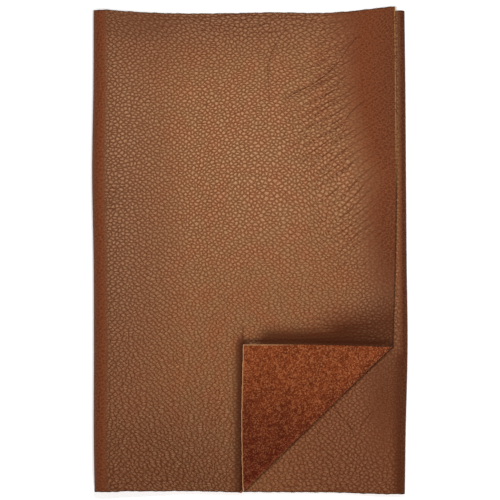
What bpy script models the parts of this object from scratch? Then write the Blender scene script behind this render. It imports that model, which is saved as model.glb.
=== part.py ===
"""Cowhide leather piece, folded in thirds, with the bottom right corner of its top panel turned back.

One flat cut of leather is bent along two upright folds and one slanting fold. The bottom panel lies on
the surface, the middle panel comes over it from the right fold, and the top panel comes over both from
the left fold. The grain side faces out, and the flesh side shows on the turned corner.
Metres, +Z up. The origin is under the middle of the piece, on the surface it lies on.
"""

import math
from collections import namedtuple

import bmesh
import bpy
from mathutils import Vector

# The leather and the cut
LEATHER = 0.0014
CUT_HEIGHT = 0.3050
LAYER_GAP = 0.0005

# The folded outline, one row for each section across the piece, from its bottom end to its top end.
# left and right are the outsides of the two folds, free is the top panel's cut edge, and the fold
# heights are taken over the leather's outside.
Section = namedtuple("Section", "along left right free left_fold_height right_fold_height")
SECTIONS = (
    Section(-0.1530, -0.0984, 0.0981, 0.0892, 0.0126, 0.0062),
    Section(-0.1150, -0.0989, 0.0986, 0.0900, 0.0134, 0.0064),
    Section(-0.0600, -0.0988, 0.0998, 0.0904, 0.0141, 0.0068),
    Section(-0.0050, -0.0990, 0.0992, 0.0920, 0.0138, 0.0066),
    Section(0.0500, -0.0999, 0.0988, 0.0926, 0.0132, 0.0062),
    Section(0.1050, -0.0991, 0.0984, 0.0922, 0.0136, 0.0061),
    Section(0.1530, -0.0990, 0.0978, 0.0917, 0.0126, 0.0063),
)

# How far the middle panel's cut edge stays from the left fold's outside
INNER_EDGE_INSET = 0.0068

# How far from a fold its bulge takes to settle onto the layers below
LEFT_SETTLE = 0.062
RIGHT_SETTLE = 0.045

# Wander of the two long cut edges, a row for each place along the flat piece, counted from the middle
# panel's cut edge. rise is at the top end and drop at the bottom end, both outwards.
Wander = namedtuple("Wander", "along rise drop")
EDGE_WANDER = (
    Wander(0.000, -0.0014, -0.0014),
    Wander(0.030, -0.0026, -0.0014),
    Wander(0.060, -0.0027, -0.0008),
    Wander(0.095, -0.0024, 0.0001),
    Wander(0.145, -0.0020, 0.0004),
    Wander(0.165, -0.0012, 0.0010),
    Wander(0.184, -0.0004, 0.0013),
    Wander(0.202, -0.0008, 0.0010),
    Wander(0.222, -0.0016, 0.0004),
    Wander(0.260, -0.0026, -0.0002),
    Wander(0.300, -0.0028, -0.0006),
    Wander(0.345, -0.0028, -0.0016),
    Wander(0.380, -0.0014, -0.0014),
    Wander(0.395, -0.0005, -0.0007),
    Wander(0.408, -0.0005, -0.0007),
    Wander(0.417, -0.0012, -0.0011),
    Wander(0.436, -0.0020, -0.0008),
    Wander(0.455, -0.0022, -0.0007),
    Wander(0.488, -0.0019, 0.0001),
    Wander(0.512, -0.0014, 0.0013),
    Wander(0.540, -0.0018, 0.0023),
    Wander(0.559, -0.0008, 0.0024),
    Wander(0.578, 0.0012, 0.0024),
    Wander(0.589, 0.0023, 0.0024),
)

# The turned corner: the slant of its fold, how far the fold lies from the corner, the fold's radius
# to the middle of the leather, how high the flap's tip stands over the top panel, how much higher its
# upper edge is lifted, and how far past the fold it takes to lift
TURN_ANGLE = math.radians(-45.7)
TURN_DISTANCE = 0.0683
TURN_RADIUS = 0.0019
FLAP_TIP_HEIGHT = 0.0023
FLAP_LIFT = 0.0022
FLAP_RISE = 0.0060

# Broad unevenness of the leather where it lies loose
SWELL = 0.0006

# Steps of the mesh: for each half turn of a fold, beside the slanting fold, for each panel and bulge,
# and up the piece, with the shortest edge that is kept
LEFT_FOLD_STEPS = 12
RIGHT_FOLD_STEPS = 10
TURN_STEPS = 8
TURN_MARGIN = 0.0020
PANEL_PITCH = 0.0165
BULGE_PITCH = 0.0078
ROW_PITCH = 0.0160
SHORTEST_EDGE = 0.00025

GRAIN_COLOUR = (0.230, 0.085, 0.038, 1.0)
FLESH_COLOUR = (0.250, 0.060, 0.022, 1.0)

Layer = namedtuple("Layer", "name start end")


def clear_scene():
    for thing in list(bpy.data.objects):
        bpy.data.objects.remove(thing)


def smooth(share):
    """0 to 1 with level ends."""
    share = min(max(share, 0.0), 1.0)
    return share * share * (3.0 - 2.0 * share)


def along_rows(rows, along):
    """The row at a place between the table's rows, with smooth curves through their values."""
    place = min(max(along, rows[0].along), rows[-1].along)
    after = 1
    while rows[after].along < place:
        after += 1
    before = after - 1
    start, end = rows[before], rows[after]
    span = end.along - start.along
    share = (place - start.along) / span
    first = rows[max(before - 1, 0)]
    last = rows[min(after + 1, len(rows) - 1)]
    values = []
    for column in range(1, len(start)):
        leaving = (end[column] - first[column]) / (end.along - first.along) * span
        arriving = (last[column] - start[column]) / (last.along - start.along) * span
        rise = end[column] - start[column]
        bend = share * share * (3.0 - 2.0 * share)
        values.append(
            start[column]
            + rise * bend
            + leaving * share * (1.0 - share) ** 2
            - arriving * share * share * (1.0 - share)
        )
    return type(start)(place, *values)


def left_radius(section):
    return (section.left_fold_height - LEATHER) / 2


def right_radius(section):
    return (section.right_fold_height - LEATHER) / 2


def left_crown(section):
    return section.left + section.left_fold_height / 2


def right_crown(section):
    return section.right - section.right_fold_height / 2


def inner_edge(section):
    return section.left + INNER_EDGE_INSET


def layers_of_flat():
    """The flat piece's stretches, from the middle panel's cut edge to the top panel's, by length."""
    section = along_rows(SECTIONS, 0.0)
    lengths = (
        ("middle", right_crown(section) - inner_edge(section)),
        ("right fold", math.pi * right_radius(section)),
        ("bottom", right_crown(section) - left_crown(section)),
        ("left fold", math.pi * left_radius(section)),
        ("top", section.free - left_crown(section)),
    )
    layers = []
    start = 0.0
    for name, length in lengths:
        layers.append(Layer(name, start, start + length))
        start += length
    return layers


LAYERS = layers_of_flat()
FLAT_LENGTH = LAYERS[-1].end


def swell(x, y):
    """A soft unevenness from 0 to SWELL."""
    wave = math.sin(31.0 * x + 1.1) * math.sin(23.0 * y + 0.4)
    ripple = math.sin(57.0 * x - 38.0 * y + 2.0)
    return SWELL * (0.5 + 0.33 * wave + 0.17 * ripple)


def middle_height(x, y):
    """Height of the middle panel's mid-surface: high at the right fold, then down onto the bottom panel."""
    section = along_rows(SECTIONS, y)
    stacked = 1.5 * LEATHER + LAYER_GAP
    crown = section.right_fold_height - LEATHER / 2
    settled = smooth((right_crown(section) - x) / RIGHT_SETTLE)
    return stacked * settled + crown * (1.0 - settled) + swell(x, y) * settled


def top_height(x, y):
    """Height of the top panel's mid-surface: high at the left fold, then down onto the middle panel."""
    section = along_rows(SECTIONS, y)
    stacked = middle_height(x, y) + LEATHER + LAYER_GAP
    crown = section.left_fold_height - LEATHER / 2
    distance = x - left_crown(section)
    settled = smooth(distance / LEFT_SETTLE)
    return stacked * settled + crown * (1.0 - settled) + swell(y, x) * settled


def fold_arc(section, share, left):
    """A point on a fold's half turn. The left one turns up from the bottom panel, the right one down to it."""
    if left:
        radius = left_radius(section)
        angle = math.pi * share
        x = left_crown(section) - radius * math.sin(angle)
    else:
        radius = right_radius(section)
        angle = math.pi * (1.0 - share)
        x = right_crown(section) + radius * math.sin(angle)
    return x, LEATHER / 2 + radius * (1.0 - math.cos(angle))


def between(start, end, share):
    return start + (end - start) * share


class Turn:
    """The slanting fold of the top panel's corner, in plan."""

    across = Vector((math.cos(TURN_ANGLE), math.sin(TURN_ANGLE)))

    @classmethod
    def corner(cls):
        return Vector((along_rows(SECTIONS, -CUT_HEIGHT / 2).free, -CUT_HEIGHT / 2))

    @classmethod
    def beyond(cls, place):
        """How far a plan point lies past the fold's start, towards the corner."""
        return TURN_DISTANCE - (cls.corner() - place).dot(cls.across)

    @classmethod
    def along(cls, place):
        """How far a plan point lies from the corner's own line, towards the top of the piece."""
        return (place - cls.corner()).cross(cls.across) * -1.0


def flap_height(past, along):
    """How high the flap stands over the top panel, at a distance past its roll."""
    tip = TURN_DISTANCE - math.pi * TURN_RADIUS
    sink = smooth(past / tip)
    height = between(2.0 * TURN_RADIUS, FLAP_TIP_HEIGHT, sink)
    lifted = smooth(along / TURN_DISTANCE) * smooth(past / FLAP_RISE) * (1.0 - sink)
    return height + FLAP_LIFT * lifted


def turned_corner(x, y):
    """The place of a top panel point past the slanting fold: round the roll, then back over the panel."""
    place = Vector((x, y))
    beyond = Turn.beyond(place)
    foot = place - Turn.across * beyond
    roll = math.pi * TURN_RADIUS
    if beyond < roll:
        angle = beyond / TURN_RADIUS
        place = foot + Turn.across * TURN_RADIUS * math.sin(angle)
        height = TURN_RADIUS * (1.0 - math.cos(angle))
    else:
        past = beyond - roll
        place = foot - Turn.across * past
        height = flap_height(past, Turn.along(place))
    return Vector((place.x, place.y, top_height(place.x, place.y) + height))


def folded(flat):
    """Where a point of the flat piece goes. flat.x runs across the panels and flat.y up the piece."""
    wander = along_rows(EDGE_WANDER, flat.x)
    share_up = abs(flat.y) / (CUT_HEIGHT / 2)
    reach = wander.rise if flat.y > 0.0 else -wander.drop
    y = flat.y + reach * smooth(share_up * 3.0 - 2.0)
    section = along_rows(SECTIONS, y)
    layer = next(layer for layer in LAYERS if flat.x <= layer.end + 1e-7)
    share = (flat.x - layer.start) / (layer.end - layer.start)
    if layer.name == "middle":
        x = between(inner_edge(section), right_crown(section), share)
        return Vector((x, y, middle_height(x, y)))
    if layer.name == "bottom":
        x = between(right_crown(section), left_crown(section), share)
        return Vector((x, y, LEATHER / 2))
    if layer.name == "top":
        x = between(left_crown(section), section.free, share)
        if Turn.beyond(Vector((x, y))) > 0.0:
            return turned_corner(x, y)
        return Vector((x, y, top_height(x, y)))
    x, z = fold_arc(section, share, layer.name == "left fold")
    return Vector((x, y, z))


def steps_between(start, end, pitch):
    count = max(1, round((end - start) / pitch))
    return [start + (end - start) * i / count for i in range(count + 1)]


def bend_places():
    """The places across the flat piece where its mesh is scored, close together where it bends most."""
    middle, right_fold, bottom, left_fold, top = LAYERS
    places = steps_between(middle.start, middle.end - RIGHT_SETTLE, PANEL_PITCH)
    places += steps_between(middle.end - RIGHT_SETTLE, middle.end, BULGE_PITCH)
    right_step = (right_fold.end - right_fold.start) / RIGHT_FOLD_STEPS
    places += steps_between(right_fold.start, right_fold.end, right_step)
    places += steps_between(bottom.start, bottom.end, PANEL_PITCH)
    left_step = (left_fold.end - left_fold.start) / LEFT_FOLD_STEPS
    places += steps_between(left_fold.start, left_fold.end, left_step)
    settled = top.start + LEFT_SETTLE
    rising = top.end - RIGHT_SETTLE
    places += steps_between(top.start, settled, BULGE_PITCH)
    places += steps_between(settled, rising, PANEL_PITCH)
    places += steps_between(rising, top.end, BULGE_PITCH)
    return sorted({round(place, 6) for place in places})


def score(mesh, point, normal):
    """Cuts the flat mesh along a straight line."""
    everything = mesh.verts[:] + mesh.edges[:] + mesh.faces[:]
    bmesh.ops.bisect_plane(mesh, geom=everything, dist=1e-5, plane_co=point, plane_no=normal)


def flat_cut():
    """The flat piece, grain side up, scored along each line where it will bend."""
    mesh = bmesh.new()
    bmesh.ops.create_grid(mesh, x_segments=1, y_segments=1, size=0.5)
    bmesh.ops.scale(mesh, vec=(FLAT_LENGTH, CUT_HEIGHT, 1.0), verts=mesh.verts)
    bmesh.ops.translate(mesh, vec=(FLAT_LENGTH / 2, 0.0, 0.0), verts=mesh.verts)
    for place in bend_places()[1:-1]:
        score(mesh, (place, 0.0, 0.0), (1.0, 0.0, 0.0))
    for place in steps_between(-CUT_HEIGHT / 2, CUT_HEIGHT / 2, ROW_PITCH)[1:-1]:
        score(mesh, (0.0, place, 0.0), (0.0, 1.0, 0.0))
    across = Turn.across.to_3d()
    corner = Vector((FLAT_LENGTH, -CUT_HEIGHT / 2, 0.0))
    roll = math.pi * TURN_RADIUS
    turning = [roll * step / TURN_STEPS for step in range(TURN_STEPS + 1)]
    for beyond in [-TURN_MARGIN, *turning, roll + TURN_MARGIN]:
        score(mesh, corner - across * (TURN_DISTANCE - beyond), across)
    bmesh.ops.remove_doubles(mesh, verts=mesh.verts, dist=SHORTEST_EDGE)
    return mesh


def centre_on_origin(piece):
    """Moves the mesh so that the finished piece lies on Z = 0 with the origin at the middle of its footprint."""
    graph = bpy.context.evaluated_depsgraph_get()
    finished = piece.evaluated_get(graph)
    corners = [Vector(corner) for corner in finished.bound_box]
    low = Vector(min(corner[i] for corner in corners) for i in range(3))
    high = Vector(max(corner[i] for corner in corners) for i in range(3))
    middle = (low + high) / 2
    for vertex in piece.data.vertices:
        vertex.co -= Vector((middle.x, middle.y, low.z))


def leather_material(name, colour, roughness):
    material = bpy.data.materials.new(name)
    material.use_nodes = True
    surface = material.node_tree.nodes["Principled BSDF"]
    surface.inputs["Base Color"].default_value = colour
    surface.inputs["Roughness"].default_value = roughness
    surface.inputs["Metallic"].default_value = 0.0
    return material


def leather_piece(collection):
    mesh = flat_cut()
    for vertex in mesh.verts:
        vertex.co = folded(vertex.co)
    data = bpy.data.meshes.new("leather_piece")
    mesh.to_mesh(data)
    mesh.free()
    data.shade_smooth()
    data.materials.append(leather_material("grain_side", GRAIN_COLOUR, 0.45))
    data.materials.append(leather_material("flesh_side", FLESH_COLOUR, 0.95))
    piece = bpy.data.objects.new("leather_piece", data)
    collection.objects.link(piece)
    thickness = piece.modifiers.new("Thickness", "SOLIDIFY")
    thickness.thickness = LEATHER
    thickness.offset = 0.0
    thickness.use_even_offset = True
    thickness.use_quality_normals = True
    thickness.material_offset = 1
    thickness.material_offset_rim = 1
    centre_on_origin(piece)
    return piece


def main():
    clear_scene()
    collection = bpy.data.collections.new("cowhide leather piece")
    bpy.context.scene.collection.children.link(collection)
    leather_piece(collection)


main()
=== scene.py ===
"""Looks of the cowhide leather piece: one sheet folded in thirds, with one corner turned back.

The sheet starts as a flat grid of the cut's size. Its columns are set close together where it bends, its
points are moved round the folds, and it gets its thickness last. The flat cut's own metres are its UV map,
so the grain follows the leather round the folds. Metres, +Z up, in the frame's place.
"""

import math
from collections import namedtuple

import bpy
import numpy as np
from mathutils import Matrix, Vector


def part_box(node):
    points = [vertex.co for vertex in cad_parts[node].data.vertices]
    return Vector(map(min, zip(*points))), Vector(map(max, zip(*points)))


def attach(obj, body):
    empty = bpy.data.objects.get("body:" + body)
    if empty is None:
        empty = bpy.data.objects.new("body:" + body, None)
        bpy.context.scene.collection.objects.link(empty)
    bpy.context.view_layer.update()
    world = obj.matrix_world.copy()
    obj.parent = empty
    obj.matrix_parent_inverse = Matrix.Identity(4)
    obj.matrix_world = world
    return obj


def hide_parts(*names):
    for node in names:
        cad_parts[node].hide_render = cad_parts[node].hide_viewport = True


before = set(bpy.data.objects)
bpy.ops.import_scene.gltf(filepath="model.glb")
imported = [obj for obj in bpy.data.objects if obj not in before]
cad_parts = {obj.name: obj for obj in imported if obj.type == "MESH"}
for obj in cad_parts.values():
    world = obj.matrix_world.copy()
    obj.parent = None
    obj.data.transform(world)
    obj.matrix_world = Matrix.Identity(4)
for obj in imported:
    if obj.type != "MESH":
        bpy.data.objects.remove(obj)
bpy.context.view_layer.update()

# The leather and the cut
LEATHER = 0.0014
CUT_HEIGHT = 0.3050
LAYER_GAP = 0.0005

# The folded outline, one row for each section across the piece, from its bottom end to its top end.
# left and right are the outsides of the two folds, free is the top panel's cut edge, and the fold
# heights are taken over the leather's outside.
Section = namedtuple("Section", "along left right free left_fold_height right_fold_height")
SECTIONS = (
    Section(-0.1530, -0.0984, 0.0981, 0.0892, 0.0126, 0.0062),
    Section(-0.1150, -0.0989, 0.0986, 0.0900, 0.0134, 0.0064),
    Section(-0.0600, -0.0988, 0.0998, 0.0904, 0.0141, 0.0068),
    Section(-0.0050, -0.0990, 0.0992, 0.0920, 0.0138, 0.0066),
    Section(0.0500, -0.0999, 0.0988, 0.0926, 0.0132, 0.0062),
    Section(0.1050, -0.0991, 0.0984, 0.0922, 0.0136, 0.0061),
    Section(0.1530, -0.0990, 0.0978, 0.0917, 0.0126, 0.0063),
)

# How far the middle panel's cut edge stays from the left fold's outside
INNER_EDGE_INSET = 0.0068

# How far from a fold its bulge takes to settle onto the layers below
LEFT_SETTLE = 0.062
RIGHT_SETTLE = 0.045

# Wander of the two long cut edges, a row for each place along the flat piece, counted from the middle
# panel's cut edge. rise is at the top end and drop at the bottom end, both outwards.
Wander = namedtuple("Wander", "along rise drop")
EDGE_WANDER = (
    Wander(0.000, -0.0014, -0.0014),
    Wander(0.030, -0.0026, -0.0014),
    Wander(0.060, -0.0027, -0.0008),
    Wander(0.095, -0.0024, 0.0001),
    Wander(0.145, -0.0020, 0.0004),
    Wander(0.165, -0.0012, 0.0010),
    Wander(0.184, -0.0004, 0.0013),
    Wander(0.202, -0.0008, 0.0010),
    Wander(0.222, -0.0016, 0.0004),
    Wander(0.260, -0.0026, -0.0002),
    Wander(0.300, -0.0028, -0.0006),
    Wander(0.345, -0.0028, -0.0016),
    Wander(0.380, -0.0014, -0.0014),
    Wander(0.395, -0.0005, -0.0007),
    Wander(0.408, -0.0005, -0.0007),
    Wander(0.417, -0.0012, -0.0011),
    Wander(0.436, -0.0020, -0.0008),
    Wander(0.455, -0.0022, -0.0007),
    Wander(0.488, -0.0019, 0.0001),
    Wander(0.512, -0.0014, 0.0013),
    Wander(0.540, -0.0018, 0.0023),
    Wander(0.559, -0.0008, 0.0024),
    Wander(0.578, 0.0012, 0.0024),
    Wander(0.589, 0.0023, 0.0024),
)

# The turned corner: the slant of its fold, how far the fold lies from the corner, the fold's radius
# to the middle of the leather, how high the flap's tip stands over the top panel, how much higher its
# upper edge is lifted, and how far past the fold it takes to lift
TURN_ANGLE = math.radians(-45.7)
TURN_DISTANCE = 0.0683
TURN_RADIUS = 0.0019
FLAP_TIP_HEIGHT = 0.0023
FLAP_LIFT = 0.0022
FLAP_RISE = 0.0060

# Broad unevenness of the leather where it lies loose, and small unevenness of its cut, made of waves
# that have so many radians to the metre, each with its start
SWELL = 0.0006
RAGGED = 0.00007
RAGGED_WAVES = ((430.0, 0.0), (811.0, 1.0), (1270.0, 2.0))

# The sheet's columns, close together where it shows or bends: the pitch on what shows, on what is
# hidden, and the steps of each half turn. The rows are all one pitch. Points that are closer than the
# shortest edge are merged. The middle panel counts as hidden up to a place on the flat cut.
SHOWN_PITCH = 0.00150
HIDDEN_PITCH = 0.0050
ROW_PITCH = 0.00195
LEFT_FOLD_STEPS = 24
RIGHT_FOLD_STEPS = 16
TURN_STEPS = 12
SHORTEST_EDGE = 0.00012
MIDDLE_SHOWS_FROM = 0.080

# The main creases, on the plan of the folded piece: soft troughs that reach width to either side, each
# with a fine line that reaches line to either side
Crease = namedtuple("Crease", "layer width depth line points")
CREASES = (
    Crease("top", 0.0034, 0.00010, 0.0006, (
        (0.0212, 0.1398), (0.0136, 0.1259), (0.0111, 0.1164), (0.0123, 0.0937),
    )),
    Crease("top", 0.0040, 0.00016, 0.0006, (
        (0.0199, 0.0935), (0.0262, 0.0990), (0.0345, 0.1031), (0.0415, 0.1070), (0.0470, 0.1108),
        (0.0525, 0.1157), (0.0570, 0.1208),
    )),
    Crease("top", 0.0034, 0.00012, 0.0006, ((0.0570, 0.1208), (0.0620, 0.1287), (0.0690, 0.1369))),
    Crease("top", 0.0036, 0.00014, 0.0006, (
        (0.0600, 0.0820), (0.0628, 0.0868), (0.0676, 0.0916), (0.0740, 0.0960),
    )),
    Crease("top", 0.0034, 0.00012, 0.0006, ((0.0320, 0.0551), (0.0389, 0.0614))),
    # Partly a pressed crease along the turned corner's upper edge: its wide dark line is painted shadow
    # under the lifted edge
    Crease("top", 0.0036, 0.00028, 0.0024, (
        (-0.0120, -0.0568), (0.0300, -0.0570), (0.0600, -0.0577), (0.0840, -0.0580), (0.0895, -0.0566),
        (0.0930, -0.0510),
    )),
    # Along the turned corner's left edge: its dark line is painted shade beside the flap
    Crease("top", 0.0036, 0.00015, 0.0016, ((-0.0046, -0.0400), (-0.0050, -0.1000), (-0.0054, -0.1700))),
    Crease("middle", 0.0034, 0.00013, 0.0006, (
        (0.0516, -0.0960), (0.0570, -0.1042), (0.0630, -0.1106), (0.0668, -0.1180),
    )),
    Crease("middle", 0.0030, 0.00012, 0.0006, ((0.0790, -0.0990), (0.0735, -0.1060), (0.0690, -0.1120))),
)

# A crease fades out over a sixth of its length at either end. Its line shows in full where the crease is
# at least so deep, and the finishes are told how far away it is in widths of the line, up to a limit.
CREASE_END_RATE = 6.0
FULL_LINE_DEPTH = 0.00016
LINE_OFFSET_LIMIT = 20.0

# Soft painted shade along the right fold and the turned corner's edges, standing in for the shade of the
# folds and
# of the raised flap: darkest on the line and gone at reach from it
Shade = namedtuple("Shade", "layer reach amount points")
SHADES = (
    Shade("top", 0.0160, 1.50, ((0.0140, -0.0590), (0.0600, -0.0590), (0.0900, -0.0590))),
    Shade("top", 0.0320, 1.60, ((0.0620, -0.0620), (0.0950, -0.0560))),
    Shade("right fold", 0.0260, 1.20, ((0.1020, -0.1700), (0.1020, 0.1700))),
    Shade("middle", 0.0080, 0.90, ((0.1010, -0.0700), (0.1010, 0.1700))),
    Shade("middle", 0.0100, 1.30, ((0.0970, -0.1700), (0.0980, -0.0700))),
    Shade("top", 0.0080, 1.30, ((-0.0045, -0.0600), (-0.0050, -0.1000), (-0.0055, -0.1560))),
)

# Soft patches of the leather, on the plan of the folded piece, by the mark that the finishes read. pulled
# leather is smooth, and darker and redder; the reddening mark makes it only darker and redder, not
# smoother.
# The darkness of both is partly painted shade where the leather turns from the light. The darkening mark
# makes it darker, mostly with painted shade where the light falls off and partly with a darker tone.
# slanting leather has fine wrinkles up to the right, level leather has its grain and wrinkles stretched
# from side to side, and broad leather has larger pebbles.
Patch = namedtuple("Patch", "mark layer x y reach_x reach_y amount")
PATCHES = (
    Patch("pulled", "top", 0.0960, 0.1300, 0.0460, 0.1500, 2.50),
    Patch("pulled", "top", 0.0960, 0.0250, 0.0350, 0.0950, 1.40),
    Patch("pulled", "middle", 0.0860, -0.0950, 0.0220, 0.0600, 0.80),
    Patch("pulled", "top", 0.0750, 0.1650, 0.0420, 0.0500, 1.20),
    Patch("pulled", "top", -0.0700, 0.1480, 0.0500, 0.0200, 0.30),
    Patch("reddened_and_shaded", "middle", 0.0900, -0.1100, 0.1200, 0.1300, 1.40),
    Patch("reddened_and_shaded", "top", 0.0960, 0.1400, 0.0700, 0.1300, 2.00),
    Patch("reddened_and_shaded", "top", 0.0960, 0.0100, 0.0480, 0.1400, 1.30),
    Patch("reddened_and_shaded", "top", -0.0700, 0.1400, 0.0800, 0.0500, 0.90),
    Patch("reddened_and_shaded", "top", -0.0900, 0.0000, 0.0700, 0.3000, 0.55),
    Patch("reddened_and_shaded", "top", 0.0700, -0.0500, 0.0500, 0.0400, 0.80),
    Patch("reddened_and_shaded", "top", 0.0000, 0.1500, 0.1400, 0.0400, 0.60),
    Patch("slanting", "top", 0.0680, 0.0850, 0.0600, 0.1000, 1.60),
    Patch("slanting", "top", 0.0750, 0.0150, 0.0500, 0.0500, 1.00),
    Patch("level", "top", 0.0000, 0.1560, 0.1600, 0.0280, 1.30),
    Patch("level", "top", -0.0900, 0.0350, 0.0300, 0.0160, 0.90),
    Patch("level", "top", -0.0900, -0.1560, 0.1200, 0.0240, 1.20),
    Patch("level", "top", 0.0600, -0.0520, 0.0560, 0.0200, 1.40),
    Patch("level", "middle", 0.0500, -0.1560, 0.0900, 0.0400, 0.80),
    # The darkening patches: mostly painted shade towards the left, top and bottom, by the turned corner and
    # beside the right fold, partly a darker tone
    Patch("shade_and_tone", "top", -0.1000, 0.0100, 0.0750, 0.3000, 1.10),
    Patch("shade_and_tone", "top", -0.0850, -0.1700, 0.1400, 0.1200, 1.80),
    Patch("shade_and_tone", "top", 0.0920, -0.0480, 0.0360, 0.0440, 1.80),
    Patch("shade_and_tone", "top", -0.0400, 0.1720, 0.1500, 0.0600, 1.60),
    Patch("shade_and_tone", "top", -0.0700, 0.1470, 0.0500, 0.0240, 2.20),
    Patch("shade_and_tone", "top", 0.1000, 0.1200, 0.0300, 0.1400, 0.90),
    Patch("shade_and_tone", "top", 0.1000, -0.0100, 0.0400, 0.1000, 0.80),
    Patch("shade_and_tone", "middle", 0.0800, -0.1500, 0.0900, 0.1000, 0.30),
    Patch("shade_and_tone", "middle", 0.0920, -0.0800, 0.0380, 0.0700, 0.90),
    Patch("shade_and_tone", "middle", 0.1010, 0.1300, 0.0240, 0.1100, 2.00),
    Patch("shade_and_tone", "middle", 0.1030, -0.1000, 0.0110, 0.2000, 2.50),
    Patch("shade_and_tone", "right fold", 0.1030, 0.0000, 0.0200, 0.6000, 2.00),
    Patch("broad", "top", 0.0400, 0.0350, 0.1000, 0.1100, 1.00),
)

# How far past a fold its smooth, dark band fades out, and how smooth each fold is. The band's darkness is
# partly painted shade.
FOLD_FADE = 0.0030
FOLD_PULLED = {"right fold": 0.90, "left fold": 1.0}

# How far past the start of the turned corner's fold the flesh side stays dark with painted shade, and over
# how much it then fades
TURN_DARK = 0.0030
TURN_FADE = 0.0060

# The direction of the wrinkles in the slanting and level patches, how much the grain is stretched along
# them, and how much larger it is in the broad patches
WRINKLE_SLANT = {"slanting": math.radians(40.0), "level": 0.0}
STRETCH = 0.20
BROADER = 0.13

# How many times their mean size the pebbles are wide. They are as many times less tall.
PEBBLE_WIDER = 1.13

Layer = namedtuple("Layer", "name start end")


def smooth(share):
    """0 to 1 with level ends."""
    share = min(max(share, 0.0), 1.0)
    return share * share * (3.0 - 2.0 * share)


def between(start, end, share):
    return start + (end - start) * share


def along_rows(rows, along):
    """The row at a place between the table's rows, with smooth curves through their values."""
    place = min(max(along, rows[0].along), rows[-1].along)
    after = 1
    while rows[after].along < place:
        after += 1
    before = after - 1
    start, end = rows[before], rows[after]
    span = end.along - start.along
    share = (place - start.along) / span
    first = rows[max(before - 1, 0)]
    last = rows[min(after + 1, len(rows) - 1)]
    values = []
    for column in range(1, len(start)):
        leaving = (end[column] - first[column]) / (end.along - first.along) * span
        arriving = (last[column] - start[column]) / (last.along - start.along) * span
        rise = end[column] - start[column]
        bend = share * share * (3.0 - 2.0 * share)
        values.append(
            start[column]
            + rise * bend
            + leaving * share * (1.0 - share) ** 2
            - arriving * share * share * (1.0 - share)
        )
    return type(start)(place, *values)


def left_radius(section):
    return (section.left_fold_height - LEATHER) / 2


def right_radius(section):
    return (section.right_fold_height - LEATHER) / 2


def left_crown(section):
    return section.left + section.left_fold_height / 2


def right_crown(section):
    return section.right - section.right_fold_height / 2


def inner_edge(section):
    return section.left + INNER_EDGE_INSET


def layers_of_flat():
    """The flat piece's stretches, from the middle panel's cut edge to the top panel's, by length."""
    section = along_rows(SECTIONS, 0.0)
    lengths = (
        ("middle", right_crown(section) - inner_edge(section)),
        ("right fold", math.pi * right_radius(section)),
        ("bottom", right_crown(section) - left_crown(section)),
        ("left fold", math.pi * left_radius(section)),
        ("top", section.free - left_crown(section)),
    )
    layers = []
    start = 0.0
    for name, length in lengths:
        layers.append(Layer(name, start, start + length))
        start += length
    return layers


LAYERS = layers_of_flat()
FLAT_LENGTH = LAYERS[-1].end


def swell(x, y):
    """A soft unevenness from 0 to SWELL."""
    wave = math.sin(31.0 * x + 1.1) * math.sin(23.0 * y + 0.4)
    ripple = math.sin(57.0 * x - 38.0 * y + 2.0)
    return SWELL * (0.5 + 0.33 * wave + 0.17 * ripple)


def middle_height(x, y):
    """Height of the middle panel's mid-surface: high at the right fold, then down onto the bottom panel."""
    section = along_rows(SECTIONS, y)
    stacked = 1.5 * LEATHER + LAYER_GAP
    crown = section.right_fold_height - LEATHER / 2
    settled = smooth((right_crown(section) - x) / RIGHT_SETTLE)
    return stacked * settled + crown * (1.0 - settled) + swell(x, y) * settled


def top_height(x, y):
    """Height of the top panel's mid-surface: high at the left fold, then down onto the middle panel."""
    section = along_rows(SECTIONS, y)
    stacked = middle_height(x, y) + LEATHER + LAYER_GAP
    crown = section.left_fold_height - LEATHER / 2
    distance = x - left_crown(section)
    settled = smooth(distance / LEFT_SETTLE)
    return stacked * settled + crown * (1.0 - settled) + swell(y, x) * settled


def fold_arc(section, share, left):
    """A point on a fold's half turn. The left one goes up from the bottom panel, the right one down."""
    if left:
        radius = left_radius(section)
        angle = math.pi * share
        x = left_crown(section) - radius * math.sin(angle)
    else:
        radius = right_radius(section)
        angle = math.pi * (1.0 - share)
        x = right_crown(section) + radius * math.sin(angle)
    return x, LEATHER / 2 + radius * (1.0 - math.cos(angle))


class Turn:
    """The slanting fold of the top panel's corner, in plan."""

    across = Vector((math.cos(TURN_ANGLE), math.sin(TURN_ANGLE)))

    @classmethod
    def corner(cls):
        return Vector((along_rows(SECTIONS, -CUT_HEIGHT / 2).free, -CUT_HEIGHT / 2))

    @classmethod
    def beyond(cls, place):
        """How far a plan point lies past the fold's start, towards the corner."""
        return TURN_DISTANCE - (cls.corner() - place).dot(cls.across)

    @classmethod
    def along(cls, place):
        """How far a plan point lies from the corner's own line, towards the top of the piece."""
        return (place - cls.corner()).cross(cls.across) * -1.0


def flap_height(past, along):
    """How high the flap stands over the top panel, at a distance past its roll."""
    tip = TURN_DISTANCE - math.pi * TURN_RADIUS
    sink = smooth(past / tip)
    height = between(2.0 * TURN_RADIUS, FLAP_TIP_HEIGHT, sink)
    lifted = smooth(along / TURN_DISTANCE) * smooth(past / FLAP_RISE) * (1.0 - sink)
    return height + FLAP_LIFT * lifted


def turned_corner(x, y):
    """The place of a top panel point past the slanting fold: round the roll, then back over the panel."""
    place = Vector((x, y))
    beyond = Turn.beyond(place)
    foot = place - Turn.across * beyond
    roll = math.pi * TURN_RADIUS
    if beyond < roll:
        angle = beyond / TURN_RADIUS
        place = foot + Turn.across * TURN_RADIUS * math.sin(angle)
        height = TURN_RADIUS * (1.0 - math.cos(angle))
    else:
        past = beyond - roll
        place = foot - Turn.across * past
        height = flap_height(past, Turn.along(place))
    return Vector((place.x, place.y, top_height(place.x, place.y) + height))


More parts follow.
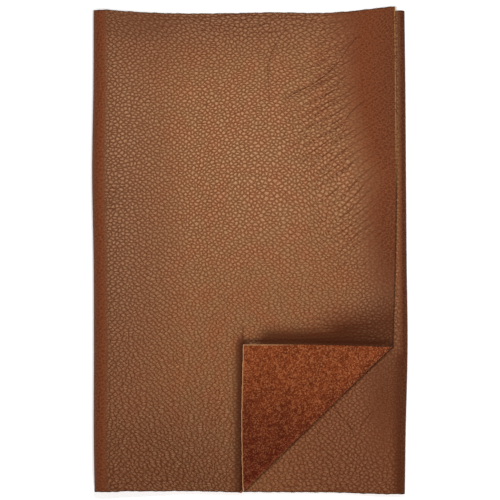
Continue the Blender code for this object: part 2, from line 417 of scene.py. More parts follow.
def layer_at(flat_x):
    return next(layer for layer in LAYERS if flat_x <= layer.end + 1e-7)


def ragged(along):
    """The knife's small wander along a cut edge."""
    return RAGGED * sum(math.sin(rate * along + start) for rate, start in RAGGED_WAVES)


def plan_of(flat):
    """A flat point's layer, and its plan place on that layer before the corner is turned."""
    wander = along_rows(EDGE_WANDER, flat.x)
    share_up = abs(flat.y) / (CUT_HEIGHT / 2)
    reach = wander.rise if flat.y > 0.0 else -wander.drop
    y = flat.y + (reach + ragged(flat.x + flat.y)) * smooth(share_up * 3.0 - 2.0)
    section = along_rows(SECTIONS, y)
    layer = layer_at(flat.x)
    share = (flat.x - layer.start) / (layer.end - layer.start)
    if layer.name == "middle":
        return layer, between(inner_edge(section), right_crown(section), share), y
    if layer.name == "bottom":
        return layer, between(right_crown(section), left_crown(section), share), y
    if layer.name == "top":
        return layer, between(left_crown(section), section.free, share), y
    return layer, fold_arc(section, share, layer.name == "left fold")[0], y


def folded(flat):
    """Where a point of the flat piece goes. flat.x runs across the panels and flat.y up the piece."""
    layer, x, y = plan_of(flat)
    if layer.name == "middle":
        return Vector((x, y, middle_height(x, y) - trough("middle", x, y)))
    if layer.name == "bottom":
        return Vector((x, y, LEATHER / 2))
    if layer.name == "top":
        if Turn.beyond(Vector((x, y))) > 0.0:
            return turned_corner(x, y)
        return Vector((x, y, top_height(x, y) - trough("top", x, y)))
    share = (flat.x - layer.start) / (layer.end - layer.start)
    x, z = fold_arc(along_rows(SECTIONS, y), share, layer.name == "left fold")
    return Vector((x, y, z))


def line_reach(line, place):
    """A plan point's signed distance from a line of points, and its share of the way along it."""
    points = [Vector(point) for point in line]
    lengths = [(end - start).length for start, end in zip(points, points[1:])]
    nearest = (1.0, 0.0)
    gone = 0.0
    for start, end, length in zip(points, points[1:], lengths):
        direction = (end - start) / length
        run = (place - start).dot(direction)
        side = direction.cross(place - start)
        stretch = min(max(run, 0.0), length)
        distance = math.hypot(side, run - stretch)
        if distance < abs(nearest[0]):
            nearest = (math.copysign(distance, side), (gone + stretch) / sum(lengths))
        gone += length
    return nearest


def crease_ends(share):
    """How fully a crease shows at a share of the way along it."""
    return smooth(share * CREASE_END_RATE) * smooth((1.0 - share) * CREASE_END_RATE)


def nearest_crease(layer_name, x, y):
    """The signed distance to the nearest crease of a layer, that crease, and the share along it."""
    place = Vector((x, y))
    found = (1.0, None, 0.0)
    for crease in CREASES:
        if crease.layer == layer_name:
            distance, share = line_reach(crease.points, place)
            if abs(distance) < abs(found[0]):
                found = (distance, crease, share)
    return found


def trough(layer_name, x, y):
    """How deep the creases press the leather at a plan point."""
    distance, crease, share = nearest_crease(layer_name, x, y)
    if crease is None or abs(distance) > crease.width:
        return 0.0
    return crease.depth * crease_ends(share) * (1.0 - smooth(abs(distance) / crease.width))


def column_places():
    """The places of the grid's columns across the flat cut."""
    middle, right_fold, bottom, left_fold, top = LAYERS
    stretches = (
        (middle.start, MIDDLE_SHOWS_FROM, round(MIDDLE_SHOWS_FROM / HIDDEN_PITCH)),
        (MIDDLE_SHOWS_FROM, middle.end, round((middle.end - MIDDLE_SHOWS_FROM) / SHOWN_PITCH)),
        (right_fold.start, right_fold.end, RIGHT_FOLD_STEPS),
        (bottom.start, bottom.end, round((bottom.end - bottom.start) / HIDDEN_PITCH)),
        (left_fold.start, left_fold.end, LEFT_FOLD_STEPS),
        (top.start, top.end, round((top.end - top.start) / SHOWN_PITCH)),
    )
    places = [0.0]
    for start, end, steps in stretches:
        places += [between(start, end, step / steps) for step in range(1, steps + 1)]
    return places


def flat_cut():
    """The flat piece, grain side up: a grid with its columns spread, cut along the slanting fold."""
    places = column_places()
    columns = len(places) - 1
    rows = round(CUT_HEIGHT / ROW_PITCH)
    bpy.ops.object.select_all(action="DESELECT")
    bpy.ops.mesh.primitive_grid_add(x_subdivisions=columns, y_subdivisions=rows, size=1.0)
    piece = bpy.context.object
    piece.name = "folded_leather"
    for vertex in piece.data.vertices:
        vertex.co.x = places[round((vertex.co.x + 0.5) * columns)]
        vertex.co.y *= CUT_HEIGHT
    bpy.ops.object.mode_set(mode="EDIT")
    corner = Vector((FLAT_LENGTH, -CUT_HEIGHT / 2, 0.0))
    across = Turn.across.to_3d()
    for step in range(TURN_STEPS + 1):
        beyond = math.pi * TURN_RADIUS * step / TURN_STEPS
        bpy.ops.mesh.select_all(action="SELECT")
        bpy.ops.mesh.bisect(
            plane_co=corner - across * (TURN_DISTANCE - beyond), plane_no=across, threshold=1e-6
        )
    bpy.ops.mesh.select_all(action="SELECT")
    bpy.ops.mesh.remove_doubles(threshold=SHORTEST_EDGE)
    bpy.ops.object.mode_set(mode="OBJECT")
    return piece


def lay_flat_map(piece):
    """Writes the flat cut's own metres as its UV map, before it is folded."""
    mesh = piece.data
    uv = mesh.uv_layers[0]
    uv.name = "flat_cut"
    places = np.array([vertex.co[:2] for vertex in mesh.vertices])
    corners = np.zeros(len(mesh.loops), dtype=np.int32)
    mesh.loops.foreach_get("vertex_index", corners)
    flat = places[corners] + np.array((0.0, CUT_HEIGHT / 2))
    uv.data.foreach_set("uv", flat.astype(np.float32).ravel())


def fold_share(flat_x):
    """How smooth the leather is from the folds' half turns, fading to 0 a little way onto the panels."""
    shares = [0.0]
    for layer in LAYERS:
        if layer.name in FOLD_PULLED:
            outside = max(layer.start - flat_x, flat_x - layer.end, 0.0)
            shares.append(FOLD_PULLED[layer.name] * (1.0 - smooth(outside / FOLD_FADE)))
    return max(shares)


def patch_cover(patch, x, y):
    """1 in the middle of a patch, and 0 at its rim and past it."""
    return smooth(1.0 - math.hypot((x - patch.x) / patch.reach_x, (y - patch.y) / patch.reach_y))


def patch_share(mark, layer_name, x, y):
    """How strongly a mark's patches cover a plan point, from 0 to 1."""
    share = 0.0
    for patch in PATCHES:
        if patch.mark == mark and patch.layer == layer_name:
            share = max(share, patch.amount * patch_cover(patch, x, y))
    return min(share, 1.0)


def shade_share(layer_name, x, y):
    """How strongly the painted shade darkens a plan point, from 0 to 1."""
    place = Vector((x, y))
    share = 0.0
    for shade in SHADES:
        if shade.layer == layer_name:
            away = abs(line_reach(shade.points, place)[0]) / shade.reach
            share = max(share, shade.amount * smooth(1.0 - away))
    return min(share, 1.0)


def grain_place(flat, layer_name, x, y):
    """Where the grain's pattern is read for a point: the flat place, pushed about by the patches."""
    push = Vector((0.0, 0.0))
    for patch in PATCHES:
        if patch.layer == layer_name:
            from_middle = Vector((x - patch.x, y - patch.y))
            cover = patch_cover(patch, x, y)
            if patch.mark in WRINKLE_SLANT:
                slant = WRINKLE_SLANT[patch.mark]
                along = Vector((math.cos(slant), math.sin(slant)))
                across = Vector((-along.y, along.x))
                amount = STRETCH * cover * min(patch.amount, 1.0)
                push += amount * (across * from_middle.dot(across) - along * from_middle.dot(along))
            if patch.mark == "broad":
                push -= BROADER * patch.amount * cover * from_middle
    return Vector((flat.x / PEBBLE_WIDER, flat.y * PEBBLE_WIDER)) + push


def turn_share(layer_name, x, y):
    """Painted shade on the flesh side: 1 up to the turned corner's fold and a little past it, fading to 0
    on the open flap.
    """
    if layer_name != "top":
        return 0.0
    return 1.0 - smooth((Turn.beyond(Vector((x, y))) - TURN_DARK) / TURN_FADE)


def marks_at(flat, layer, x, y):
    """What the finishes need to know about a point of the flat piece, and of its place on its layer."""
    distance, crease, share = nearest_crease(layer.name, x, y)
    offset = LINE_OFFSET_LIMIT
    strength = 0.0
    if crease is not None:
        offset = max(-LINE_OFFSET_LIMIT, min(LINE_OFFSET_LIMIT, distance / crease.line))
        if abs(distance) < 2.0 * crease.width:
            strength = min(crease.depth / FULL_LINE_DEPTH, 1.0) * crease_ends(share)
    return {
        "crease_offset": offset,
        "crease_strength": strength,
        "pulled": max(patch_share("pulled", layer.name, x, y), fold_share(flat.x)),
        "reddened_and_shaded": patch_share("reddened_and_shaded", layer.name, x, y),
        "shade_and_tone": patch_share("shade_and_tone", layer.name, x, y),
        "slanting": patch_share("slanting", layer.name, x, y),
        "level": patch_share("level", layer.name, x, y),
        "shaded": shade_share(layer.name, x, y),
        "shade_by_turn": turn_share(layer.name, x, y),
    }


def mark_leather(piece):
    """Gives each point of the flat piece its marks, and the place where its grain is read."""
    mesh = piece.data
    marks = []
    grain = []
    for vertex in mesh.vertices:
        layer, x, y = plan_of(vertex.co)
        marks.append(marks_at(vertex.co, layer, x, y))
        grain += [*grain_place(vertex.co, layer.name, x, y), 0.0]
    for name in marks[0]:
        values = [mark[name] for mark in marks]
        mesh.attributes.new(name, "FLOAT", "POINT").data.foreach_set("value", values)
    mesh.attributes.new("grain_place", "FLOAT_VECTOR", "POINT").data.foreach_set("vector", grain)


def rest_in_box(piece, low, high):
    """Moves the mesh so that its footprint's middle and its underside are the frame's."""
    places = np.array([vertex.co[:] for vertex in piece.data.vertices])
    middle = (places.min(axis=0) + places.max(axis=0)) / 2
    target = (low + high) / 2
    shift = Vector((target.x - middle[0], target.y - middle[1], low.z - places[:, 2].min()))
    for vertex in piece.data.vertices:
        vertex.co += shift


class Finish:
    """A material made node by node."""

    def __init__(self, name):
        self.material = bpy.data.materials.new(name)
        self.material.use_nodes = True
        self.tree = self.material.node_tree
        self.surface = self.tree.nodes["Principled BSDF"]
        self.flat = self.node("ShaderNodeUVMap", uv_map="flat_cut").outputs["UV"]
        self.up = self.axis(self.flat, "Y")
        self.from_free = self.math("SUBTRACT", FLAT_LENGTH, self.axis(self.flat, "X"))

    def node(self, kind, **settings):
        node = self.tree.nodes.new(kind)
        for name, value in settings.items():
            setattr(node, name, value)
        return node

    def feed(self, socket, value):
        """Links a socket to another node's, or gives it a plain value."""
        if isinstance(value, bpy.types.NodeSocket):
            self.tree.links.new(value, socket)
        else:
            socket.default_value = value

    def math(self, operation, first, second=0.0):
        node = self.node("ShaderNodeMath", operation=operation)
        self.feed(node.inputs[0], first)
        self.feed(node.inputs[1], second)
        return node.outputs["Value"]

    def product(self, first, *others):
        for other in others:
            first = self.math("MULTIPLY", first, other)
        return first

    def total(self, first, *others):
        for other in others:
            first = self.math("ADD", first, other)
        return first

    def less(self, mark, share):
        """1 where the mark is 0, and less by share where it is 1."""
        return self.total(self.product(mark, -share), 1.0)

    def rise(self, value, low, high):
        """0 where value is under low, 1 where it is over high, and soft between them."""
        node = self.node("ShaderNodeMapRange", interpolation_type="SMOOTHSTEP")
        self.feed(node.inputs["Value"], value)
        self.feed(node.inputs["From Min"], low)
        self.feed(node.inputs["From Max"], high)
        return node.outputs["Result"]

    def fall(self, value, low, high):
        """1 where value is under low, 0 where it is over high, and soft between them."""
        return self.math("SUBTRACT", 1.0, self.rise(value, low, high))

    def mark(self, name):
        return self.node("ShaderNodeAttribute", attribute_name=name).outputs["Fac"]

    def axis(self, place, name):
        """One of a place's numbers: its X, Y or Z."""
        node = self.node("ShaderNodeSeparateXYZ")
        self.feed(node.inputs["Vector"], place)
        return node.outputs[name]

    def drawn_out(self, place, angle, times):
        """The place for a pattern that is drawn out along one direction, so many times."""
        node = self.node("ShaderNodeMapping", vector_type="TEXTURE")
        self.feed(node.inputs["Vector"], place)
        node.inputs["Rotation"].default_value = (0.0, 0.0, angle)
        node.inputs["Scale"].default_value = (times, 1.0, 1.0)
        return node.outputs["Vector"]

    def turned(self, place, degrees):
        """The place, turned so that a pattern's own rows don't run straight up or across."""
        return self.drawn_out(place, math.radians(degrees), 1.0)

    def shifted(self, place, size, amount):
        """The place, pushed about by noise, by up to about amount metres."""
        push = self.node("ShaderNodeVectorMath", operation="MULTIPLY_ADD")
        self.feed(push.inputs[0], self.noise(place, size, detail=1.0, output="Color"))
        push.inputs[1].default_value = (amount, amount, 0.0)
        self.feed(push.inputs[2], place)
        return push.outputs["Vector"]

    def noise(self, place, size, detail=2.0, roughness=0.5, output="Fac"):
        """Noise whose blots are about as large as size, in metres."""
        node = self.node("ShaderNodeTexNoise", noise_dimensions="2D")
        self.feed(node.inputs["Vector"], place)
        node.inputs["Scale"].default_value = 1.0 / size
        node.inputs["Detail"].default_value = detail
        node.inputs["Roughness"].default_value = roughness
        return node.outputs[output]

    def bands(self, place, spacing, wander):
        """Lines that run along the place's X, spacing apart, as peaks that reach 1."""
        node = self.node("ShaderNodeTexWave", wave_type="BANDS", bands_direction="Y")
        self.feed(node.inputs["Vector"], place)
        node.inputs["Scale"].default_value = math.pi / 10.0 / spacing
        node.inputs["Distortion"].default_value = wander
        node.inputs["Detail"].default_value = 1.0
        node.inputs["Detail Scale"].default_value = 1.6
        return node.outputs["Fac"]

    def cells(self, place, size, disorder, feature="F1", output="Distance"):
        """Cells that are about as wide as size, in metres: the distance in each from its middle."""
        node = self.node("ShaderNodeTexVoronoi", voronoi_dimensions="2D", feature=feature)
        self.feed(node.inputs["Vector"], place)
        node.inputs["Scale"].default_value = 1.0 / size
        node.inputs["Randomness"].default_value = disorder
        return node.outputs[output]

    def cell_edges(self, place, size, disorder):
        """The distance in each cell from its edge."""
        return self.cells(place, size, disorder, feature="DISTANCE_TO_EDGE")

    def cell_shades(self, place, size, disorder):
        """A value from 0 to 1 for each cell, with no order in it."""
        return self.axis(self.cells(place, size, disorder, output="Color"), "X")

    def mix(self, share, first, second):
        node = self.node("ShaderNodeMix", data_type="RGBA")
        self.feed(node.inputs["Factor"], share)
        self.feed(node.inputs["A"], first)
        self.feed(node.inputs["B"], second)
        return node.outputs["Result"]

    def raise_surface(self, height):
        """Bumps the surface by a height in metres."""
        node = self.node("ShaderNodeBump")
        node.inputs["Strength"].default_value = 1.0
        node.inputs["Distance"].default_value = 1.0
        self.feed(node.inputs["Height"], height)
        self.feed(self.surface.inputs["Normal"], node.outputs["Normal"])


# The pebbles of the grain and the smaller ones pressed into them: their widths, and how far they stand
# from a regular net. The pebbles' lines bend in two steps, each with its reach and its amount. Then the
# widths of the fine grain and of the patches of redder and more tan leather.
PEBBLE_SIZE = 0.00240
PEBBLE_DISORDER = 0.72
SMALL_PEBBLE_SIZE = 0.00150
SMALL_PEBBLE_DISORDER = 0.80
PEBBLE_BENDS = ((0.0070, 0.0012), (0.0018, 0.0004))
FINE_SIZE = 0.00100
HUE_SIZE = 0.013

# The relief of the grain side
PEBBLE_HEIGHT = 0.00011
GROOVE_SHARE = 0.25
FINE_HEIGHT = 0.00007
WRINKLE_DEPTH = 0.00014
LINE_DEPTH = 0.00010

# How much of the relief is lost where the leather is pulled, or darkened with mostly painted shade
PULLED_PEBBLES = 0.85
PULLED_WRINKLES = 0.50
SHADE_AND_TONE_PEBBLES = 0.12

# The fine wrinkles: their spacing by the patches' mark, how many times longer than wide they are drawn,
# how far they wander, and the length over which they come and go
WRINKLE_SPACING = {"slanting": 0.0046, "level": 0.0040}
WRINKLE_DRAWN = 3.0
WRINKLE_WANDER = 6.5
WRINKLE_LENGTH = 0.0060

# How far each part of the grain side takes on its own colour, from 0 for not at all to 1 for wholly
BODY_SHADE_AND_TONE = 0.72
BODY_SHADE = 0.88
TOP_SHADE_AND_TONE = 0.70
SHADED_TOPS_LESS = 0.90
SHADE_AND_TONE_TOPS_MORE = 0.70
# The pebbles' sides and tops take painted highlights, and the grooves painted shade
PEBBLE_SIDES = 0.18
PEBBLE_TOPS = 0.23
SMALL_TOPS = 0.18
GROOVES = 0.45
SMALL_GROOVES = 0.28
FINE_GROOVES = 0.20
PULLED_TOPS = 0.34
PULLED_GROOVES = 0.20
WRINKLES = 0.66
CREASE_LINES = 0.95

# The grain side's roughness, and what being pulled, reddened or shaded adds to it
ROUGHNESS = 0.34
PULLED_ROUGHNESS = 0.32
REDDENED_AND_SHADED_ROUGHNESS = 0.10
SHADED_ROUGHNESS = 0.35
ROUGHEST = 0.85

# The rims of the cut, with painted shade at both ends of the cut. The top panel's cut edge has painted
# shadow near the turned corner, and shows its pale fibres higher up, from one place to the other along it.
EDGE_SHADE = (0.035, 0.0100, 0.0040, 1.0)
FIBRE_COLOUR = (0.26, 0.125, 0.040, 1.0)
FIBRES_FROM = 0.185
FIBRES_IN_FULL = 0.225


class GrainSide(Finish):
    """Milled grain: rounded pebbles with painted highlights and painted-shade valleys, smooth and redder
    where pulled.
    """

    def __init__(self):
        super().__init__("grain_side")
        self.pulled = self.mark("pulled")
        # Pulled or reddened leather takes a darker, redder body, partly painted shade
        self.reddened_and_shaded = self.math("MAXIMUM", self.pulled, self.mark("reddened_and_shaded"))
        self.shade_and_tone = self.mark("shade_and_tone")
        self.shaded = self.mark("shaded")
        self.unpulled = self.less(self.pulled, PULLED_PEBBLES)
        self.place = self.node("ShaderNodeAttribute", attribute_name="grain_place").outputs["Vector"]
        self.lay_pebbles()
        self.wrinkle = self.wrinkles()
        self.line = self.crease_lines()
        self.raise_surface(self.relief())
        self.feed(self.surface.inputs["Base Color"], self.with_rims(self.with_lines(self.pebbled())))
        self.feed(self.surface.inputs["Roughness"], self.roughness())
        self.surface.inputs["Specular IOR Level"].default_value = 0.30
        self.surface.inputs["Specular Tint"].default_value = (1.0, 0.70, 0.40, 1.0)

    def lay_pebbles(self):
        """The patterns that the relief and the colour share."""
        place = self.turned(self.place, 45.0)
        for reach, amount in PEBBLE_BENDS:
            place = self.shifted(place, reach, amount)
        self.edge = self.cell_edges(place, PEBBLE_SIZE, PEBBLE_DISORDER)
        self.own_shade = self.cell_shades(place, PEBBLE_SIZE, PEBBLE_DISORDER)
        self.pebble_top = self.fall(self.cells(place, PEBBLE_SIZE, PEBBLE_DISORDER), 0.06, 0.42)
        self.from_small = self.cells(self.turned(place, -41.0), SMALL_PEBBLE_SIZE, SMALL_PEBBLE_DISORDER)
        self.groove = self.fall(self.edge, 0.0, 0.13)
        self.fine = self.noise(self.turned(self.flat, -19.0), FINE_SIZE, roughness=0.7)

    def wrinkles(self):
        """Long thin lines over the patches that have them, which wander and come and go."""
        found = 0.0
        for mark, slant in WRINKLE_SLANT.items():
            along = self.drawn_out(self.place, slant, WRINKLE_DRAWN)
            lines = self.rise(self.bands(along, WRINKLE_SPACING[mark], WRINKLE_WANDER), 0.82, 1.0)
            there = self.rise(self.noise(along, WRINKLE_LENGTH, detail=1.0), 0.28, 0.46)
            found = self.math("MAXIMUM", found, self.product(lines, there, self.mark(mark)))
        return self.product(found, self.less(self.pulled, PULLED_WRINKLES))

    def crease_lines(self):
        line = self.fall(self.math("ABSOLUTE", self.mark("crease_offset")), 0.0, 1.0)
        return self.product(line, self.mark("crease_strength"))

    def relief(self):
        dome = self.rise(self.edge, 0.0, 0.30)
        pebble = self.math("SUBTRACT", dome, self.product(self.groove, GROOVE_SHARE))
        return self.total(
            self.product(pebble, self.unpulled, PEBBLE_HEIGHT, self.less(self.shade_and_tone, SHADE_AND_TONE_PEBBLES)),
            self.product(self.fine, FINE_HEIGHT),
            self.product(self.wrinkle, -WRINKLE_DEPTH),
            self.product(self.line, -LINE_DEPTH),
        )

    def pebbled(self):
        """The colour of the body, the pebbles' tops over it with painted highlights, and the valleys
        between them with painted shade.
        """
        red_body = (0.181, 0.0430, 0.0114, 1.0)
        tan_body = (0.163, 0.0560, 0.0165, 1.0)
        # Darker and redder where pulled or reddened: the darkness is partly painted shade where the leather
        # turns from the light
        drawn_and_shaded = (0.128, 0.0225, 0.0048, 1.0)
        shade_colour = (0.046, 0.0070, 0.0016, 1.0)
        pink_highlight = (0.350, 0.1600, 0.0820, 1.0)
        tan_highlight = (0.318, 0.1720, 0.0830, 1.0)
        dim_highlight = (0.225, 0.0880, 0.0420, 1.0)
        valley_shade = (0.074, 0.0150, 0.0036, 1.0)
        hue = self.rise(self.noise(self.flat, HUE_SIZE), 0.28, 0.72)
        body = self.mix(self.reddened_and_shaded, self.mix(hue, red_body, tan_body), drawn_and_shaded)
        # Mostly painted shade, partly a darker tone
        body = self.mix(self.product(self.shade_and_tone, BODY_SHADE_AND_TONE), body, shade_colour)
        # Painted shade along the right fold and the turned corner's edges
        body = self.mix(self.product(self.shaded, BODY_SHADE), body, shade_colour)
        top = self.mix(self.own_shade, pink_highlight, tan_highlight)
        top = self.mix(self.product(self.shade_and_tone, TOP_SHADE_AND_TONE), top, dim_highlight)
        # Painted highlights on the pebbles' sides and tops, fewer in painted shade, more in the darkening
        # patches
        lit = self.total(
            self.product(self.rise(self.edge, 0.02, 0.22), self.unpulled, PEBBLE_SIDES),
            self.product(self.pebble_top, self.unpulled, PEBBLE_TOPS),
            self.product(self.fall(self.from_small, 0.02, 0.42), SMALL_TOPS),
        )
        shows = self.total(
            self.product(self.shaded, -SHADED_TOPS_LESS),
            self.product(self.shade_and_tone, SHADE_AND_TONE_TOPS_MORE),
            1.0,
        )
        # Painted shade in the grooves between the pebbles
        dull = self.total(
            self.product(self.groove, self.unpulled, GROOVES),
            self.product(self.rise(self.from_small, 0.42, 0.72), SMALL_GROOVES),
            self.product(self.fall(self.fine, 0.36, 0.56), FINE_GROOVES),
            self.product(self.pebble_top, self.pulled, PULLED_TOPS),
        )
        colour = self.mix(self.product(lit, shows), body, top)
        return self.mix(self.math("MINIMUM", dull, 1.0), colour, valley_shade)

    def with_lines(self, colour):
        """The wrinkles and the creases, darkened with painted shade, and the net of pale lines where the
        leather is pulled.
        """
        wrinkle_shade = (0.072, 0.0085, 0.0017, 1.0)
        net_line = (0.350, 0.1600, 0.0820, 1.0)
        crease_shade = (0.050, 0.0062, 0.0012, 1.0)
        colour = self.mix(self.product(self.wrinkle, WRINKLES), colour, wrinkle_shade)
        colour = self.mix(self.product(self.groove, self.pulled, PULLED_GROOVES), colour, net_line)
        return self.mix(self.product(self.line, CREASE_LINES), colour, crease_shade)

    def with_rims(self, colour):
        """The grain's rim along the cut: painted shade at the two ends, and painted shadow to pale fibres
        along the free edge.
        """
        from_end = self.math("MINIMUM", self.up, self.math("SUBTRACT", CUT_HEIGHT, self.up))
        colour = self.mix(self.fall(from_end, 0.0002, 0.0009), colour, EDGE_SHADE)
        on_free = self.fall(self.from_free, 0.0004, 0.0009)
        on_free = self.product(on_free, self.fall(self.from_small, 0.35, 0.75))
        fibres = self.rise(self.up, FIBRES_FROM, FIBRES_IN_FULL)
        return self.mix(on_free, colour, self.mix(fibres, EDGE_SHADE, FIBRE_COLOUR))

    def roughness(self):
        roughness = self.total(
            self.product(self.pulled, PULLED_ROUGHNESS),
            self.product(self.reddened_and_shaded, REDDENED_AND_SHADED_ROUGHNESS),
            self.product(self.shaded, SHADED_ROUGHNESS),
            ROUGHNESS,
        )
        return self.math("MINIMUM", roughness, ROUGHEST)


# The flesh side: the width of its fibres, of the specks between them, of its nap and of its blots, and
# the nap's height
FIBRE_SIZE = 0.00066
SPECK_SIZE = 0.00120
SPECK_DISORDER = 0.75
NAP_SIZE = 0.00080
NAP_HEIGHT = 0.00018
BLOT_SIZE = 0.010

# The suede deepens from one place to the other down the folded piece: redder, and darker with painted shade
DEEP_BELOW = -0.135
RUST_ABOVE = -0.066

# How far each part of the flesh side takes on its own colour, from 0 for not at all to 1 for wholly
SHADE_BY_TURN = 0.85
BLOTS = 0.30
LIT_FIBRES = 0.48
LIT_SPECKS = 0.10
LESS_LIT_BELOW = 0.40
DARK_FIBRES = 0.52
DARK_SPECKS = 0.14
DARK_NAP = 0.10
BARE_RIM = 0.80


def flesh_side():
    """Napped suede: rust brown, redder and, with painted shade, darker towards the bottom and by the turned
    corner's fold, with fibres that catch the light.
    """
    finish = Finish("flesh_side")
    fibre = finish.cell_shades(finish.turned(finish.flat, 31.0), FIBRE_SIZE, 1.0)
    speck = finish.cells(finish.turned(finish.flat, -22.0), SPECK_SIZE, SPECK_DISORDER)
    nap = finish.noise(finish.turned(finish.flat, 14.0), NAP_SIZE, roughness=0.8)
    blots = finish.noise(finish.flat, BLOT_SIZE, detail=3.0, roughness=0.6)
    place = finish.node("ShaderNodeTexCoord").outputs["Object"]
    low = finish.fall(finish.axis(place, "Y"), DEEP_BELOW, RUST_ABOVE)
    dark = (0.045, 0.0058, 0.0016, 1.0)
    rust = (0.180, 0.0350, 0.0085, 1.0)
    deep = (0.080, 0.0088, 0.0028, 1.0)
    light = (0.420, 0.1500, 0.0560, 1.0)
    bare = (0.460, 0.2400, 0.1100, 1.0)
    colour = finish.mix(low, rust, deep)
    colour = finish.mix(finish.product(finish.mark("shade_by_turn"), SHADE_BY_TURN), colour, deep)
    colour = finish.mix(finish.product(finish.fall(blots, 0.38, 0.56), BLOTS), colour, dark)
    lit = finish.total(
        finish.product(finish.rise(fibre, 0.50, 1.0), LIT_FIBRES),
        finish.product(finish.fall(speck, 0.05, 0.50), LIT_SPECKS),
    )
    colour = finish.mix(finish.product(lit, finish.less(low, LESS_LIT_BELOW)), colour, light)
    deepened = finish.total(
        finish.product(finish.fall(fibre, 0.0, 0.50), DARK_FIBRES),
        finish.product(finish.rise(speck, 0.40, 0.70), DARK_SPECKS),
        finish.product(finish.fall(nap, 0.34, 0.50), DARK_NAP),
    )
    colour = finish.mix(finish.math("MINIMUM", deepened, 1.0), colour, dark)
    near_tip = finish.product(
        finish.fall(finish.from_free, 0.0002, 0.0007), finish.fall(finish.up, 0.010, 0.040)
    )
    rim = finish.math("MAXIMUM", finish.fall(finish.up, 0.0002, 0.0008), near_tip)
    colour = finish.mix(finish.product(rim, BARE_RIM), colour, bare)
    finish.feed(finish.surface.inputs["Base Color"], colour)
    finish.raise_surface(finish.product(nap, NAP_HEIGHT))
    finish.surface.inputs["Roughness"].default_value = 1.0
    finish.surface.inputs["Specular IOR Level"].default_value = 0.10
    finish.surface.inputs["Sheen Weight"].default_value = 0.10
    finish.surface.inputs["Sheen Roughness"].default_value = 0.5
    finish.surface.inputs["Sheen Tint"].default_value = (1.0, 0.55, 0.30, 1.0)
    return finish.material


# The raw cut: the width and height of its fibres, and how dark the top panel's cut is with painted shadow
# near the turned corner
CUT_FIBRE_SIZE = 0.0006
CUT_FIBRE_HEIGHT = 0.00015
SHADED_CUT = 0.85


def cut_edge():
    """The raw cut edge: brown fibres, with painted shadow along the top panel's cut near the turned corner.
    """
    finish = Finish("cut_edge")
    brown = (0.090, 0.0240, 0.0070, 1.0)
    tan = (0.220, 0.0800, 0.0300, 1.0)
    fibres = finish.noise(finish.flat, CUT_FIBRE_SIZE, roughness=0.7)
    on_free = finish.fall(finish.from_free, 0.0001, 0.0005)
    shaded_cut = finish.product(on_free, finish.fall(finish.up, FIBRES_FROM, FIBRES_IN_FULL))
    colour = finish.mix(finish.product(shaded_cut, SHADED_CUT), finish.mix(fibres, brown, tan), EDGE_SHADE)
    finish.feed(finish.surface.inputs["Base Color"], colour)
    finish.raise_surface(finish.product(fibres, CUT_FIBRE_HEIGHT))
    finish.surface.inputs["Roughness"].default_value = 0.9
    finish.surface.inputs["Specular IOR Level"].default_value = 0.2
    return finish.material


def folded_leather():
    """The whole piece: the flat cut, marked, folded, finished and given its thickness."""
    low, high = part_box("leather_piece")
    piece = flat_cut()
    lay_flat_map(piece)
    mark_leather(piece)
    for vertex in piece.data.vertices:
        vertex.co = folded(vertex.co)
    for material in (GrainSide().material, flesh_side(), cut_edge()):
        piece.data.materials.append(material)
    thickness = piece.modifiers.new("Thickness", "SOLIDIFY")
    thickness.thickness = LEATHER
    thickness.offset = 0.0
    thickness.use_even_offset = True
    thickness.use_quality_normals = True
    thickness.material_offset = 1
    thickness.material_offset_rim = 2
    bpy.ops.object.modifier_apply(modifier=thickness.name)
    rest_in_box(piece, low, high)
    bpy.ops.object.shade_smooth_by_angle(angle=math.radians(50.0))
    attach(piece, "root")
    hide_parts("leather_piece")


# What the camera's frame covers: its width at a level between the table and the top panel, and how far
# its middle is up from the piece's own
FRAME_WIDTH = 0.3164
FRAME_LEVEL = 0.005
FRAME_MIDDLE_UP = 0.0004
CAMERA_DISTANCE = 1.60
SENSOR = 36.0


def camera():
    """Straight above the piece, at the photograph's scale over the piece's own height."""
    data = bpy.data.cameras.new("camera")
    data.sensor_width = SENSOR
    data.lens = SENSOR * CAMERA_DISTANCE / FRAME_WIDTH
    data.clip_start = 0.05
    data.clip_end = 20.0
    view = bpy.data.objects.new("camera", data)
    view.location = (0.0, FRAME_MIDDLE_UP, CAMERA_DISTANCE + FRAME_LEVEL)
    bpy.context.scene.collection.objects.link(view)
    bpy.context.scene.camera = view


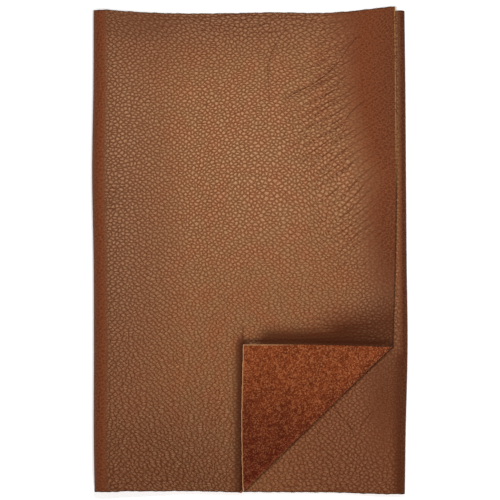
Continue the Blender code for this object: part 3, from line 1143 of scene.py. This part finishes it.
# The light: a small softbox close above, which models the pebbles, a large one from the lower right that
# lights the folds without a glare on the leather, and pale surroundings
Softbox = namedtuple("Softbox", "name place aim size watts glare")
SOFTBOXES = (
    Softbox("overhead", (0.0, 0.081, 0.45), (0.0, 0.081, 0.0), 0.12, 1.66, True),
    Softbox("lower_right", (0.55, -2.35, 1.00), (0.0, 0.0, 0.0), 2.00, 65.0, False),
)
SURROUNDINGS = 0.24
WHITE = (1.0, 1.0, 1.0, 1.0)

# The paper that the piece lies on: its width, its small gap under the piece, its tone, and the light of
# its own that keeps it near white
PAPER_WIDTH = 8.0
PAPER_GAP = 0.0002
PAPER_TONE = (0.90, 0.90, 0.90, 1.0)
PAPER_ROUGHNESS = 0.9
PAPER_GLOW = 0.45


def hang_softbox(box):
    data = bpy.data.lights.new(box.name, "AREA")
    data.shape = "RECTANGLE"
    data.size = box.size
    data.size_y = box.size
    data.energy = box.watts
    lamp = bpy.data.objects.new(box.name, data)
    lamp.location = box.place
    lamp.rotation_euler = (Vector(box.aim) - Vector(box.place)).to_track_quat("-Z", "Y").to_euler()
    lamp.visible_glossy = box.glare
    bpy.context.scene.collection.objects.link(lamp)


def lay_paper():
    bpy.ops.object.select_all(action="DESELECT")
    bpy.ops.mesh.primitive_plane_add(size=PAPER_WIDTH, location=(0.0, 0.0, -PAPER_GAP))
    floor = bpy.context.object
    floor.name = "floor"
    paper = bpy.data.materials.new("paper")
    paper.use_nodes = True
    surface = paper.node_tree.nodes["Principled BSDF"]
    surface.inputs["Base Color"].default_value = PAPER_TONE
    surface.inputs["Roughness"].default_value = PAPER_ROUGHNESS
    surface.inputs["Emission Color"].default_value = WHITE
    surface.inputs["Emission Strength"].default_value = PAPER_GLOW
    floor.data.materials.append(paper)


def studio():
    """A plain pale floor, a small softbox above, a large one at the lower right, pale surroundings."""
    lay_paper()
    for box in SOFTBOXES:
        hang_softbox(box)
    world = bpy.data.worlds.new("surroundings")
    world.use_nodes = True
    world.node_tree.nodes["Background"].inputs["Color"].default_value = WHITE
    world.node_tree.nodes["Background"].inputs["Strength"].default_value = SURROUNDINGS
    bpy.context.scene.world = world
    bpy.context.scene.view_settings.view_transform = "Standard"


camera()
studio()
folded_leather()
